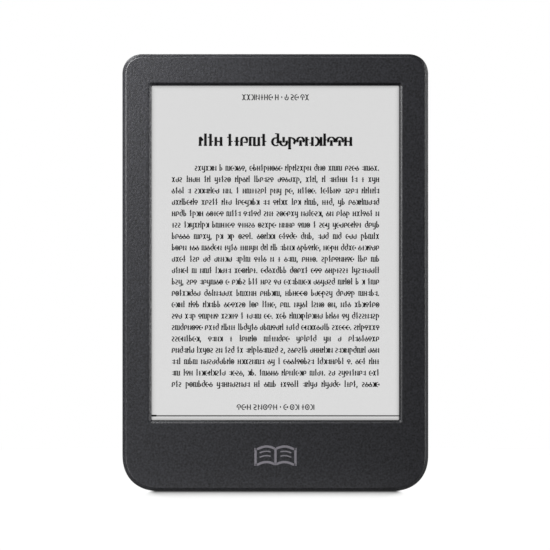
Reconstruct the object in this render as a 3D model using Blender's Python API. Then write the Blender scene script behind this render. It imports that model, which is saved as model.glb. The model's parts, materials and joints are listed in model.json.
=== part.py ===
"""A 6-inch e-reader as an assembly of separate pieces, at real size.

Frame: +Z up the body, +X to the reader's right, the screen faces -Y, so the rear faces +Y.
Origin: middle of the bottom edge, at half the body's thickness.
All dimensions are in millimetres; add_object turns them into metres.
Motion: the power button and the plunger of its switch slide along Y, the memory card slides
along Z, and each ribbon connector's latch turns about an X axis through its own origin.
Spans are (low, high) pairs and centres are (x, z) pairs.
"""

import math

import bmesh
import bpy
from mathutils import Vector

MM_TO_M = 0.001

# ---------------------------------------------------------------- shared dimensions
WIDTH, HEIGHT, THICKNESS = 112.0, 160.0, 9.2
FRONT, BACK = -THICKNESS / 2, THICKNESS / 2

# Outline corners: reach along each side, superellipse exponent (2 is a circle), facets
TOP_REACH, TOP_EXPONENT, TOP_FACETS = 7.3, 2.12, 8
FOOT_REACH, FOOT_EXPONENT, FOOT_FACETS = 13.4, 2.26, 12

SEAM_Y = -2.62  # the bezel's side lip ends here
FLOOR_Y = 3.40  # inner face of the cover's back wall
PLATE_REAR = -3.60  # rear face of the bezel plate
GAP = 0.03  # clearance between stacked parts


def stack_spans(start, thicknesses):
    """The Y span of each layer, from front to rear, with a gap before each one."""
    spans = []
    for thickness in thicknesses:
        start += GAP
        spans.append((start, start + thickness))
        start += thickness
    return spans


GASKET, TOUCH, GUIDE, PAPER, GLASS, TAPE, FRAME = stack_spans(
    PLATE_REAR, (0.14, 0.28, 0.40, 0.16, 0.40, 0.14, 0.90)
)
FRAME_FRONT, FRAME_REAR = FRAME

BOARD_FRONT, BOARD_REAR = 0.15, 0.95
PART_Y = BOARD_REAR + GAP  # components start here, behind the board

BUTTON = BUTTON_X, BUTTON_Z = -38.0, 17.0
LIGHT_PIPE = (BUTTON_X, BUTTON_Z + 2.9)
BUTTON_RADIUS, BUTTON_HOLE_RADIUS, BUTTON_FLANGE_RADIUS = 4.45, 4.60, 5.40
BUTTON_TOP = BACK - 0.50  # the cap is sunk below the back face

USB_Y = -0.15
USB_WIDTH, USB_HEIGHT = 8.94, 3.20
USB_HOLE_WIDTH, USB_HOLE_HEIGHT = 9.5, 3.7

FRAME_SCREWS = [(x, z) for z in (27.0, 88.0, 146.0) for x in (-51.2, 51.2)]
BOARD_SCREWS = [(-46.6, 11.2), (46.4, 11.2), (46.8, 42.6), (-29.5, 42.8)]
THREAD_HOLE_RADIUS = 0.66

# Snap hooks: axis across the wall, side of the body, place along the wall
HOOKS = [
    ("x", 1, 40.0), ("x", 1, 100.0), ("x", -1, 40.0), ("x", -1, 100.0),
    ("z", 1, 25.0), ("z", 1, -25.0), ("z", -1, 30.0), ("z", -1, -30.0),
]

for old in list(bpy.data.objects):
    bpy.data.objects.remove(old, do_unlink=True)

scene = bpy.context.scene
root = bpy.data.objects.new("e_reader", None)
scene.collection.objects.link(root)


# ---------------------------------------------------------------- materials
def material(name, colour, roughness, metallic=0.0, alpha=1.0):
    made = bpy.data.materials.new(name)
    made.use_nodes = True
    inputs = made.node_tree.nodes["Principled BSDF"].inputs
    inputs["Base Color"].default_value = (*colour, 1.0)
    inputs["Roughness"].default_value = roughness
    inputs["Metallic"].default_value = metallic
    inputs["Alpha"].default_value = alpha
    return made


SHELL = material("shell_plastic", colour=(0.035, 0.035, 0.038), roughness=0.55)
COVER = material("cover_plastic", colour=(0.030, 0.030, 0.033), roughness=0.60)
CLEAR = material("clear_plastic", colour=(0.90, 0.91, 0.92), roughness=0.25, alpha=0.3)
PAPER_FILM = material("paper_film", colour=(0.66, 0.66, 0.65), roughness=0.60)
BACKPLANE = material("backplane_glass", colour=(0.28, 0.32, 0.30), roughness=0.15)
BLACK_TAPE = material("black_tape", colour=(0.02, 0.02, 0.02), roughness=0.80)
POLYIMIDE = material("flex_polyimide", colour=(0.45, 0.20, 0.04), roughness=0.35)
STEEL = material("stamped_steel", colour=(0.60, 0.60, 0.62), roughness=0.30, metallic=1.0)
ALLOY = material("frame_alloy", colour=(0.42, 0.43, 0.45), roughness=0.45, metallic=1.0)
BOARD_GREEN = material("board_green", colour=(0.015, 0.09, 0.045), roughness=0.40)
EPOXY = material("chip_epoxy", colour=(0.02, 0.02, 0.022), roughness=0.45)
PALE_NYLON = material("connector_nylon", colour=(0.70, 0.66, 0.56), roughness=0.50)
DARK_NYLON = material("latch_nylon", colour=(0.06, 0.06, 0.06), roughness=0.45)
POUCH = material("cell_pouch", colour=(0.50, 0.51, 0.53), roughness=0.40, metallic=0.6)
LED_LENS = material("led_lens", colour=(0.85, 0.80, 0.62), roughness=0.30)
RED_WIRE = material("wire_red", colour=(0.45, 0.02, 0.02), roughness=0.45)
BLACK_WIRE = material("wire_black", colour=(0.02, 0.02, 0.02), roughness=0.45)
NICKEL = material("magnet_nickel", colour=(0.55, 0.54, 0.52), roughness=0.25, metallic=1.0)
SCREW_STEEL = material("screw_steel", colour=(0.12, 0.12, 0.13), roughness=0.35, metallic=1.0)


# ---------------------------------------------------------------- objects and Booleans
def add_object(name, shape, mat, origin=(0, 0, 0), parent=root, smooth=True):
    """Turns a bmesh in millimetres into an object in metres with its origin at that point."""
    bmesh.ops.remove_doubles(shape, verts=shape.verts, dist=1e-4)
    bmesh.ops.recalc_face_normals(shape, faces=shape.faces)
    origin = Vector(origin)
    for vertex in shape.verts:
        vertex.co = (vertex.co - origin) * MM_TO_M
    mesh = bpy.data.meshes.new(name)
    shape.to_mesh(mesh)
    shape.free()
    if mat is not None:
        mesh.materials.append(mat)
    if smooth:
        mesh.shade_smooth()
        mesh.set_sharp_from_angle(angle=math.radians(35))
    obj = bpy.data.objects.new(name, mesh)
    scene.collection.objects.link(obj)
    obj.location = origin * MM_TO_M
    obj.parent = parent
    return obj


def combine(obj, name, shape, operation):
    """Applies shape to obj by a Boolean; shape stays in the file as a hidden helper."""
    other = add_object(name, shape, None, smooth=False)
    other.hide_render = True
    other.display_type = "WIRE"
    modifier = obj.modifiers.new(operation.lower() + "_" + name, "BOOLEAN")
    modifier.operation = operation
    modifier.object = other
    modifier.solver = "EXACT"


def join(obj, name, shape):
    combine(obj, name, shape, "UNION")


def cut(obj, name, shape):
    combine(obj, name, shape, "DIFFERENCE")


# ---------------------------------------------------------------- flat outlines
def around(centre, half):
    return (centre - half, centre + half)


def arc(centre_x, centre_z, radius, start, end, facets):
    """Points of an arc from angle start to angle end, in degrees."""
    angles = [math.radians(start + (end - start) * i / facets) for i in range(facets + 1)]
    return [(centre_x + radius * math.cos(a), centre_z + radius * math.sin(a)) for a in angles]


def superellipse_corner(centre_x, centre_z, reach, exponent, start, facets):
    """A quarter of a superellipse, from angle start to start + 90 degrees."""
    points = []
    for i in range(facets + 1):
        angle = math.radians(start + 90 * i / facets)
        cosine, sine = math.cos(angle), math.sin(angle)
        points.append((
            centre_x + reach * math.copysign(abs(cosine) ** (2 / exponent), cosine),
            centre_z + reach * math.copysign(abs(sine) ** (2 / exponent), sine),
        ))
    return points


def body_outline(inset):
    """The body's outline moved in by inset: small corners at the top, large ones at the foot."""
    x1, z0, z1 = WIDTH / 2 - inset, inset, HEIGHT - inset
    top, foot = max(TOP_REACH - inset, 0.4), max(FOOT_REACH - inset, 0.4)
    return (
        superellipse_corner(x1 - foot, z0 + foot, foot, FOOT_EXPONENT, -90, FOOT_FACETS)
        + superellipse_corner(x1 - top, z1 - top, top, TOP_EXPONENT, 0, TOP_FACETS)
        + superellipse_corner(-x1 + top, z1 - top, top, TOP_EXPONENT, 90, TOP_FACETS)
        + superellipse_corner(-x1 + foot, z0 + foot, foot, FOOT_EXPONENT, 180, FOOT_FACETS)
    )


def rect(x_span, z_span, radius=0.0, facets=3, top_facets=None):
    """A rectangle; with radius its corners are rounded, the top ones with top_facets if given."""
    (x0, x1), (z0, z1) = x_span, z_span
    if radius <= 0:
        return [(x1, z0), (x1, z1), (x0, z1), (x0, z0)]
    top_facets = top_facets or facets
    return (
        arc(x1 - radius, z0 + radius, radius, -90, 0, facets)
        + arc(x1 - radius, z1 - radius, radius, 0, 90, top_facets)
        + arc(x0 + radius, z1 - radius, radius, 90, 180, top_facets)
        + arc(x0 + radius, z0 + radius, radius, 180, 270, facets)
    )


def disc(centre, radius, facets):
    angles = [2 * math.pi * i / facets for i in range(facets)]
    x, z = centre
    return [(x + radius * math.cos(a), z + radius * math.sin(a)) for a in angles]


# ---------------------------------------------------------------- solids
def skin(loops, cyclic=False):
    """Joins loops of (x, y, z) with quads; the ends are capped unless the loops close up."""
    shape = bmesh.new()
    rows = [[shape.verts.new(point) for point in loop] for loop in loops]
    pairs = list(zip(rows, rows[1:]))
    if cyclic:
        pairs.append((rows[-1], rows[0]))
    for row, following in pairs:
        for i in range(len(row)):
            j = (i + 1) % len(row)
            shape.faces.new((row[i], row[j], following[j], following[i]))
    if not cyclic:
        shape.faces.new(rows[0])
        shape.faces.new(list(reversed(rows[-1])))
    return shape


def loft(rings, cyclic=False):
    """Skins rings given as (outline, y)."""
    return skin([[(x, y, z) for x, z in outline] for outline, y in rings], cyclic)


def prism(outline, y_span):
    return loft([(outline, y) for y in y_span])


def sleeve(outer, inner, y_span):
    """A wall between two outlines, open in the middle."""
    y0, y1 = y_span
    return loft([(outer, y0), (outer, y1), (inner, y1), (inner, y0)], cyclic=True)


def block(x_span, y_span, z_span, radius=0.0, facets=3, edge=0.0):
    """A box with rounded corners in the X-Z plane and, with edge, a chamfered rear rim."""
    outline = rect(x_span, z_span, radius, facets)
    if edge <= 0:
        return prism(outline, y_span)
    (x0, x1), (y0, y1), (z0, z1) = x_span, y_span, z_span
    inner_radius = max(radius - edge, 0.02) if radius > 0 else 0
    inner = rect((x0 + edge, x1 - edge), (z0 + edge, z1 - edge), inner_radius, facets)
    return loft([(outline, y0), (outline, y1 - edge), (inner, y1)])


def turned(centre, profile, facets):
    """A solid of revolution about Y through centre, from (radius, y) pairs."""
    return loft([(disc(centre, radius, facets), y) for radius, y in profile])


def cylinder(centre, radius, y_span, facets):
    return turned(centre, [(radius, y) for y in y_span], facets)


def ribbon(x_span, path, thickness):
    """A flat flex of constant width that follows path, a list of (y, z)."""
    x0, x1 = x_span
    loops = []
    for k, (y, z) in enumerate(path):
        before = path[max(k - 1, 0)]
        after = path[min(k + 1, len(path) - 1)]
        step_y, step_z = after[0] - before[0], after[1] - before[1]
        length = math.hypot(step_y, step_z)
        off_y, off_z = -step_z / length * thickness / 2, step_y / length * thickness / 2
        loops.append([
            (x0, y + off_y, z + off_z), (x1, y + off_y, z + off_z),
            (x1, y - off_y, z - off_z), (x0, y - off_y, z - off_z),
        ])
    return skin(loops)


def wire(points, radius, facets=10, steps=5):
    """A round wire along a Catmull-Rom curve through points."""
    knots = [Vector(point) for point in points]
    knots = [knots[0] * 2 - knots[1]] + knots + [knots[-1] * 2 - knots[-2]]
    line = []
    for p0, p1, p2, p3 in zip(knots, knots[1:], knots[2:], knots[3:]):
        for i in range(steps):
            t = i / steps
            line.append(0.5 * (
                2 * p1
                + (p2 - p0) * t
                + (2 * p0 - 5 * p1 + 4 * p2 - p3) * t * t
                + (3 * p1 - p0 - 3 * p2 + p3) * t ** 3
            ))
    line.append(knots[-2])
    loops = []
    for k, centre in enumerate(line):
        along = (line[min(k + 1, len(line) - 1)] - line[max(k - 1, 0)]).normalized()
        side = along.cross(Vector((0, 1, 0))).normalized()
        up = along.cross(side)
        angles = [2 * math.pi * i / facets for i in range(facets)]
        loops.append([centre + radius * (math.cos(a) * side + math.sin(a) * up) for a in angles])
    return skin(loops)


def hook_point(hook, wall_inset, outwards, shift):
    """(x, z) of a point outwards of the wall face at wall_inset, and shift along the wall."""
    axis, side, along = hook
    if axis == "x":
        return (side * (WIDTH / 2 - wall_inset + outwards), along + shift)
    return (along + shift, HEIGHT / 2 + side * (HEIGHT / 2 - wall_inset + outwards))


# ---------------------------------------------------------------- front bezel
# Crisp shoulder of the face: inset where it starts, radius, degrees it turns, facets
SHOULDER_INSET, SHOULDER_RADIUS, SHOULDER_TURN, SHOULDER_FACETS = 1.58, 0.62, 55.0, 3
FLANK_FACETS = 4
SIDE_Y = SEAM_Y - 0.05  # the flank meets the straight side here
LIP_THICKNESS = 1.5

OPENING_HALF_WIDTH, OPENING_Z0, OPENING_Z1 = 45.28, 26.01, 148.38
# Sloped frame round the screen: growth of the opening, corner radius, y
OPENING_STATIONS = [
    (0.0, 0.5, PLATE_REAR),
    (0.0, 0.5, PLATE_REAR - 0.15),
    (0.12, 0.55, -3.95),
    (1.05, 0.97, FRONT + 0.08),
    (1.6, 1.2, FRONT),
]
POCKET_Y = (-3.34, SEAM_Y + 0.3)
POCKET_HALF_LENGTH = 3.4


def bezel_rings():
    """Rings from the face round the shoulder and flank to the lip, then up the opening."""
    rings = []
    for k in range(SHOULDER_FACETS + 1):
        angle = math.radians(SHOULDER_TURN * k / SHOULDER_FACETS)
        flank_inset = SHOULDER_INSET - SHOULDER_RADIUS * math.sin(angle)
        flank_y = FRONT + SHOULDER_RADIUS * (1 - math.cos(angle))
        rings.append((body_outline(flank_inset), flank_y))
    # a quadratic curve carries on from the shoulder's end, tangent to it and to the side
    knee_y = flank_y + flank_inset * math.tan(math.radians(SHOULDER_TURN))
    for k in range(1, FLANK_FACETS + 1):
        t = k / FLANK_FACETS
        y = (1 - t) ** 2 * flank_y + 2 * t * (1 - t) * knee_y + t * t * SIDE_Y
        rings.append((body_outline((1 - t) ** 2 * flank_inset), y))
    rings += [
        (body_outline(0.0), SEAM_Y),
        (body_outline(LIP_THICKNESS), SEAM_Y),
        (body_outline(LIP_THICKNESS), PLATE_REAR),
    ]
    for grow, radius, y in OPENING_STATIONS:
        x_span = around(0, OPENING_HALF_WIDTH + grow)
        z_span = (OPENING_Z0 - grow, OPENING_Z1 + grow)
        rings.append((rect(x_span, z_span, radius, FOOT_FACETS, TOP_FACETS), y))
    return rings


def build_front_bezel():
    bezel = add_object("front_bezel", loft(bezel_rings(), cyclic=True), SHELL)
    boss_y = (PLATE_REAR - 0.35, FRAME_FRONT - GAP)
    hole_y = (-3.45, FRAME_FRONT + 0.3)
    for k, centre in enumerate(FRAME_SCREWS):
        join(bezel, f"bezel_boss_{k}", cylinder(centre, 1.75, boss_y, 14))
        cut(bezel, f"bezel_boss_hole_{k}", cylinder(centre, THREAD_HOLE_RADIUS, hole_y, 10))
    for k, hook in enumerate(HOOKS):
        near = hook_point(hook, LIP_THICKNESS, -0.1, -POCKET_HALF_LENGTH)
        far = hook_point(hook, LIP_THICKNESS, 0.45, POCKET_HALF_LENGTH)
        x_span, z_span = (sorted(pair) for pair in zip(near, far))
        cut(bezel, f"hook_pocket_{k}", block(x_span, POCKET_Y, z_span))


# ---------------------------------------------------------------- back cover
WALL = 1.4
ROLL_Y = -0.2  # the side starts to roll towards the back here
OUTER_ROLL, OUTER_ROLL_FACETS = 5.2, 7  # how far the roll comes in, facets
INNER_ROLL, INNER_ROLL_FACETS = 4.4, 4
COVER_SEAM_Y = SEAM_Y + 0.12
LIP_OUTER, LIP_INNER, LIP_END = 1.62, 2.2, -3.30  # insets and front end of the cover's lip

# Hook section: distance outwards of the lip, y
HOOK_PROFILE = [(-0.3, LIP_END), (0.02, -3.26), (0.36, -3.02), (0.36, -2.84), (-0.3, -2.78)]
HOOK_HALF_LENGTH = 3.0

RIB_Y = (1.2, FLOOR_Y + 0.4)
RIB_HALF = 0.5
RIBS = [(-31.5, 64.0, 142.0), (31.5, 52.0, 142.0), (-44.0, 66.0, 140.0), (44.0, 52.0, 140.0)]
CROSS_RIBS_Z = (145.0, 151.0)
COLLAR_OUTER, COLLAR_INNER, COLLAR_FRONT = 6.9, 5.75, 2.35


def roll(inset, depth, y_end, facets):
    """Rings of an elliptical roll from the side at ROLL_Y towards the rear at y_end."""
    rings = []
    for k in range(facets + 1):
        angle = math.radians(90 * k / facets)
        outline = body_outline(inset + depth * (1 - math.cos(angle)))
        rings.append((outline, ROLL_Y + (y_end - ROLL_Y) * math.sin(angle)))
    return rings


def usb_outline(half_width, half_height, z, facets=6):
    """A long-hole loop at height z, centred on the USB receptacle."""
    reach = half_width - half_height
    points = (
        arc(reach, 0, half_height, -90, 90, facets)
        + arc(-reach, 0, half_height, 90, 270, facets)
    )
    return [(x, USB_Y + y, z) for x, y in points]


def build_back_cover():
    lip = [
        (WALL, -1.90), (LIP_INNER, -2.15), (LIP_INNER, LIP_END),
        (LIP_OUTER, LIP_END), (LIP_OUTER, COVER_SEAM_Y), (0.0, COVER_SEAM_Y),
    ]
    rings = (
        roll(WALL, INNER_ROLL, FLOOR_Y, INNER_ROLL_FACETS)[::-1]
        + [(body_outline(inset), y) for inset, y in lip]
        + roll(0.0, OUTER_ROLL, BACK, OUTER_ROLL_FACETS)
    )
    cover = add_object("back_cover", loft(rings), COVER)

    for k, hook in enumerate(HOOKS):
        loops = []
        for shift in (-HOOK_HALF_LENGTH, HOOK_HALF_LENGTH):
            places = [(hook_point(hook, LIP_OUTER, out, shift), y) for out, y in HOOK_PROFILE]
            loops.append([(x, y, z) for (x, z), y in places])
        join(cover, f"cover_hook_{k}", skin(loops))

    for k, (x, z0, z1) in enumerate(RIBS):
        join(cover, f"cover_rib_{k}", block(around(x, RIB_HALF), RIB_Y, (z0, z1)))
    for k, z in enumerate(CROSS_RIBS_Z):
        rib = block((-44.0, 44.0), RIB_Y, around(z, RIB_HALF))
        join(cover, f"cover_cross_rib_{k}", rib)

    collar = sleeve(
        disc(BUTTON, COLLAR_OUTER, 24), disc(BUTTON, COLLAR_INNER, 24),
        (FLOOR_Y + 0.3, COLLAR_FRONT),
    )
    join(cover, "button_collar", collar)
    hole = [
        (BUTTON_HOLE_RADIUS, FLOOR_Y - 0.5),
        (BUTTON_HOLE_RADIUS, BACK - 0.22),
        (BUTTON_HOLE_RADIUS + 0.75, BACK + 0.3),
    ]
    cut(cover, "button_hole", turned(BUTTON, hole, 28))
    usb_hole = [usb_outline(USB_HOLE_WIDTH / 2, USB_HOLE_HEIGHT / 2, z) for z in (-1.0, 3.5)]
    cut(cover, "usb_hole", skin(usb_hole))


# ---------------------------------------------------------------- power button
def build_power_button():
    """The cap, which slides along Y, and the light pipe it carries."""
    origin = (BUTTON_X, 3.0, BUTTON_Z)
    cap = [
        (BUTTON_FLANGE_RADIUS, 2.75),
        (BUTTON_FLANGE_RADIUS, 3.34),
        (BUTTON_RADIUS, 3.34),
        (BUTTON_RADIUS, BUTTON_TOP - 0.20),
        (BUTTON_RADIUS - 0.25, BUTTON_TOP),
        (BUTTON_RADIUS - 1.30, BUTTON_TOP - 0.05),
        (1.2, BUTTON_TOP - 0.14),
    ]
    button = add_object("power_button", turned(BUTTON, cap, 28), COVER, origin)
    join(button, "button_presser", cylinder(BUTTON, 1.35, (2.42, 2.9), 14))
    cut(button, "pipe_hole", cylinder(LIGHT_PIPE, 0.63, (2.2, 5.2), 12))

    pipe_shape = cylinder(LIGHT_PIPE, 0.60, (2.58, BUTTON_TOP - 0.10), 12)
    pipe = add_object("button_light_pipe", pipe_shape, CLEAR, origin, parent=button)
    pipe.location = (0, 0, 0)  # it shares the button's origin


# ---------------------------------------------------------------- USB-C receptacle
USB_WALL = 0.28
USB_MOUTH_Z, USB_INNER_END_Z, USB_END_Z = 0.35, 7.25, 7.75


def build_usb_receptacle():
    outer = (USB_WIDTH / 2, USB_HEIGHT / 2)
    inner = (outer[0] - USB_WALL, outer[1] - USB_WALL)
    shell = add_object("usb_c_shell", skin([
        usb_outline(*inner, USB_INNER_END_Z),
        usb_outline(*inner, USB_MOUTH_Z),
        usb_outline(*outer, USB_MOUTH_Z),
        usb_outline(*outer, USB_END_Z),
    ]), STEEL)
    for side in (-1, 1):
        x_span = sorted((side * 3.75, side * 6.3))
        ear = block(x_span, (PART_Y, PART_Y + 0.3), (4.6, 6.6))
        join(shell, f"usb_ear_{side + 1}", ear)

    tongue_shape = block((-3.35, 3.35), around(USB_Y, 0.35), (1.3, 7.2))
    tongue = add_object("usb_c_tongue", tongue_shape, EPOXY)
    join(tongue, "usb_tongue_root", block((-3.6, 3.6), around(USB_Y, 0.9), (6.5, 7.2)))


# ---------------------------------------------------------------- display stack
# Rectangular rings: name, outer half width and z span, inner half width and z span, y span
DISPLAY_RINGS = [
    ("screen_gasket", 48.4, (23.5, 151.2), 46.7, (25.0, 149.8), GASKET),
    ("display_adhesive", 47.2, (20.5, 150.2), 43.4, (25.0, 146.0), TAPE),
]
# Sheets: name, half width, y span, z span, corner radius, material
DISPLAY_SHEETS = [
    ("touch_panel", 48.6, TOUCH, (23.2, 151.5), 1.0, CLEAR),
    ("light_guide", 48.2, GUIDE, (22.95, 151.2), 0.6, CLEAR),
    ("epaper_film", 46.3, PAPER, (24.9, 149.8), 0.4, PAPER_FILM),
    ("tft_backplane", 48.0, GLASS, (17.5, 151.0), 0.4, BACKPLANE),
]


def build_display_stack():
    for name, outer_half, outer_z, inner_half, inner_z, y_span in DISPLAY_RINGS:
        outer = rect(around(0, outer_half), outer_z, radius=0.6, facets=2)
        inner = rect(around(0, inner_half), inner_z, radius=0.4, facets=2)
        add_object(name, sleeve(outer, inner, y_span), BLACK_TAPE)
    for name, half_width, y_span, z_span, radius, mat in DISPLAY_SHEETS:
        add_object(name, block(around(0, half_width), y_span, z_span, radius), mat)
    driver = block((4.0, 41.0), (-2.80, -2.50), (19.8, 21.6))
    add_object("display_driver_ic", driver, EPOXY)


# ---------------------------------------------------------------- ribbons under the board
# Ribbons turn round the board's foot at TURN_Z and run up behind it to END_Z
RIBBON_REAR_Y, RIBBON_TURN_Z, RIBBON_END_Z = 1.24, 14.6, 20.2
STRIP_Y = (-3.29, -3.17)
LED_COUNT, LED_ROW_HALF = 14, 42


def u_turn(front_y, start_z, facets=8):
    """The (y, z) path of a ribbon down at front_y, round under the board and up behind it."""
    centre_y, radius = (front_y + RIBBON_REAR_Y) / 2, (RIBBON_REAR_Y - front_y) / 2
    bend = arc(centre_y, RIBBON_TURN_Z, radius, 180, 360, facets)
    return [(front_y, start_z)] + bend + [(RIBBON_REAR_Y, RIBBON_END_Z)]


def build_led_strip():
    """LEDs on a flex at the light guide's foot, with a tail to the board."""
    shape = block((-46.0, 46.0), STRIP_Y, (19.2, 22.9))
    strip = add_object("frontlight_led_strip", shape, POLYIMIDE)
    tail = ribbon((-28.6, -24.0), u_turn(sum(STRIP_Y) / 2, 20.0), 0.12)
    join(strip, "led_strip_tail", tail)
    for k in range(LED_COUNT):
        x = -LED_ROW_HALF + 2 * LED_ROW_HALF * k / (LED_COUNT - 1)
        join(strip, f"led_{k}", block(around(x, 1.3), (-3.22, -2.73), (21.7, 22.8)))


def build_ribbons():
    display = ribbon((12.9, 33.1), u_turn(-2.58, 19.6), 0.12)
    add_object("display_flex", display, POLYIMIDE)
    touch = ribbon((-20.1, -13.9), u_turn(-3.40, 23.1), 0.10)
    add_object("touch_flex", touch, POLYIMIDE)
    controller = block((-19.2, -14.8), (-3.31, -2.75), (14.9, 17.3))
    add_object("touch_controller_ic", controller, EPOXY)


# ---------------------------------------------------------------- middle frame
# Windows: x span, z span, corner radius
FRAME_WINDOWS = [
    ((10.4, 36.0), (11.2, 16.7), 0.8),
    ((-31.4, -11.2), (11.2, 16.7), 0.8),
    ((-6.6, 6.6), (-1.0, 9.2), 0.0),
    ((-22.0, 22.0), (60.0, 130.0), 0.8),
]
FENCE_REAR = 0.9


def build_mid_frame():
    frame = add_object("mid_frame", prism(body_outline(3.0), FRAME), ALLOY)
    window_y = (FRAME_FRONT - 0.6, FRAME_REAR + 0.6)
    for k, (x_span, z_span, radius) in enumerate(FRAME_WINDOWS):
        cut(frame, f"frame_window_{k}", block(x_span, window_y, z_span, radius))

    hole_y = (FRAME_FRONT - 0.5, FRAME_REAR + 0.5)
    for k, centre in enumerate(FRAME_SCREWS):
        cut(frame, f"frame_screw_hole_{k}", cylinder(centre, 0.80, hole_y, 10))

    post_y = (FRAME_FRONT + 0.3, BOARD_FRONT - 0.04)
    post_hole_y = (FRAME_FRONT - 0.4, 0.5)
    for k, centre in enumerate(BOARD_SCREWS):
        join(frame, f"board_post_{k}", cylinder(centre, 2.1, post_y, 14))
        post_hole = cylinder(centre, THREAD_HOLE_RADIUS, post_hole_y, 10)
        cut(frame, f"board_post_hole_{k}", post_hole)

    # low fence round the battery, open at its foot
    fence = sleeve(
        rect((-27.4, 27.4), (51.6, 139.8), 1.2),
        rect((-26.5, 26.5), (52.4, 138.9), 0.5),
        (FRAME_REAR - 0.3, FENCE_REAR),
    )
    join(frame, "battery_fence", fence)
    cut(frame, "fence_gap", block((-20.0, 20.0), (FRAME_REAR + 0.05, 1.5), (50.5, 53.4)))


# ---------------------------------------------------------------- battery
CELL_HALF_WIDTH = 25.8
CELL_Y = (-0.72, 2.86)
CELL_Z = (54.0, 138.4)
CELL_BEVEL = 0.6
# Wires from the protection board to the plug: name, points, material
BATTERY_WIRES = [
    ("battery_wire_red", [(11.0, 2.25, 50.9), (14.0, 2.4, 48.4), (16.6, 2.26, 46.0)], RED_WIRE),
    ("battery_wire_black", [(13.6, 2.25, 50.9), (16.6, 2.4, 48.4), (18.9, 2.26, 46.0)],
     BLACK_WIRE),
]


def build_battery():
    adhesive_y = (FRAME_REAR + 0.05, FRAME_REAR + 0.20)
    for name, z_span in (
        ("battery_adhesive", (130.6, 137.4)),
        ("battery_adhesive_lower", (54.0, 59.4)),
    ):
        add_object(name, block((-23.6, 23.6), adhesive_y, z_span, radius=0.5), BLACK_TAPE)

    (y0, y1), (z0, z1) = CELL_Y, CELL_Z
    widest = rect(around(0, CELL_HALF_WIDTH), CELL_Z, 1.9)
    face_z = (z0 + CELL_BEVEL, z1 - CELL_BEVEL)
    face = rect(around(0, CELL_HALF_WIDTH - CELL_BEVEL), face_z, 1.5)
    rings = [(face, y0), (widest, y0 + CELL_BEVEL), (widest, y1 - CELL_BEVEL), (face, y1)]
    add_object("battery_cell", loft(rings), POUCH)

    protection = block((-16.0, 16.0), (0.2, 1.8), (50.2, 53.8), radius=0.3)
    add_object("battery_protection_board", protection, BOARD_GREEN)
    socket = block((14.8, 20.8), (PART_Y, PART_Y + 0.75), (42.3, 45.4))
    add_object("battery_socket", socket, PALE_NYLON)
    plug_y = (PART_Y + 0.80, PART_Y + 1.75)
    plug = block((15.0, 20.6), plug_y, (42.5, 45.6), radius=0.2, facets=2)
    add_object("battery_plug", plug, PALE_NYLON)
    for name, points, mat in BATTERY_WIRES:
        add_object(name, wire(points, radius=0.36), mat)


# ---------------------------------------------------------------- main board
BOARD_TOP = 46.0
WINDOW_Z = 16.5  # board edge above the ribbons
# (x, z) from the lower left corner, past the ribbon and USB cut-outs, then over the top
BOARD_OUTLINE = [
    (-50.2, 9.6), (-46.8, 6.6), (-31.6, 6.6), (-31.6, WINDOW_Z), (-10.8, WINDOW_Z),
    (-10.8, 2.2), (-4.9, 2.2), (-4.9, 8.1), (4.9, 8.1), (4.9, 2.2), (10.0, 2.2),
    (10.0, WINDOW_Z), (36.4, WINDOW_Z), (36.4, 6.6), (46.8, 6.6), (50.2, 9.6),
    (50.2, BOARD_TOP), (-50.2, BOARD_TOP),
]


def build_main_board():
    outline = prism(BOARD_OUTLINE, (BOARD_FRONT, BOARD_REAR))
    board = add_object("main_board", outline, BOARD_GREEN)
    hole_y = (BOARD_FRONT - 0.5, BOARD_REAR + 0.5)
    for k, centre in enumerate(BOARD_SCREWS):
        cut(board, f"board_hole_{k}", cylinder(centre, 0.85, hole_y, 12))


def build_shield_can():
    """A drawn lid over the processor and memory, open towards the board."""
    def outline(inset, radius):
        return rect((-9.0 + inset, 12.6 - inset), (24.0 + inset, 44.6 - inset), radius)

    outer, inner, rear = outline(0.0, 0.8), outline(0.2, 0.6), outline(0.3, 0.6)
    add_object("shield_can", loft([
        (inner, PART_Y + 1.25),
        (inner, PART_Y),
        (outer, PART_Y),
        (outer, PART_Y + 1.2),
        (rear, PART_Y + 1.45),
    ]), STEEL)


def chip(name, centre, size, mat=EPOXY, edge=0.0, radius=0.0):
    """A part on the board's rear face; size is its x, z and y extents."""
    (x, z), (width, height, thickness) = centre, size
    y_span = (PART_Y, PART_Y + thickness)
    x_span, z_span = around(x, width / 2), around(z, height / 2)
    shape = block(x_span, y_span, z_span, radius, facets=2, edge=edge)
    add_object(name, shape, mat)


def build_chips():
    chip("processor", (4.2, 34.5), (13.0, 13.0, 0.95), edge=0.1)
    chip("memory_chip", (-5.6, 34.5), (5.0, 11.5, 0.85))
    chip("power_ic", (-18.6, 34.0), (7.0, 7.0, 0.80))
    chip("epaper_power_ic", (-18.6, 26.4), (5.0, 5.0, 0.75))
    chip("power_inductor", (-27.0, 34.6), (4.4, 4.4, 1.30), edge=0.25, radius=0.7)
    chip("boost_inductor", (-27.0, 27.2), (4.4, 4.4, 1.30), edge=0.25, radius=0.7)
    chip("wifi_module", (35.0, 32.4), (12.2, 13.0, 1.55), mat=STEEL, edge=0.15)
    chip("chip_antenna", (37.4, 43.4), (8.0, 2.6, 1.10), mat=PALE_NYLON)
    chip("hall_sensor", (47.0, 33.0), (1.6, 2.9, 0.60))
    chip("status_led", LIGHT_PIPE, (0.9, 1.6, 0.60), mat=LED_LENS)


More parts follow.
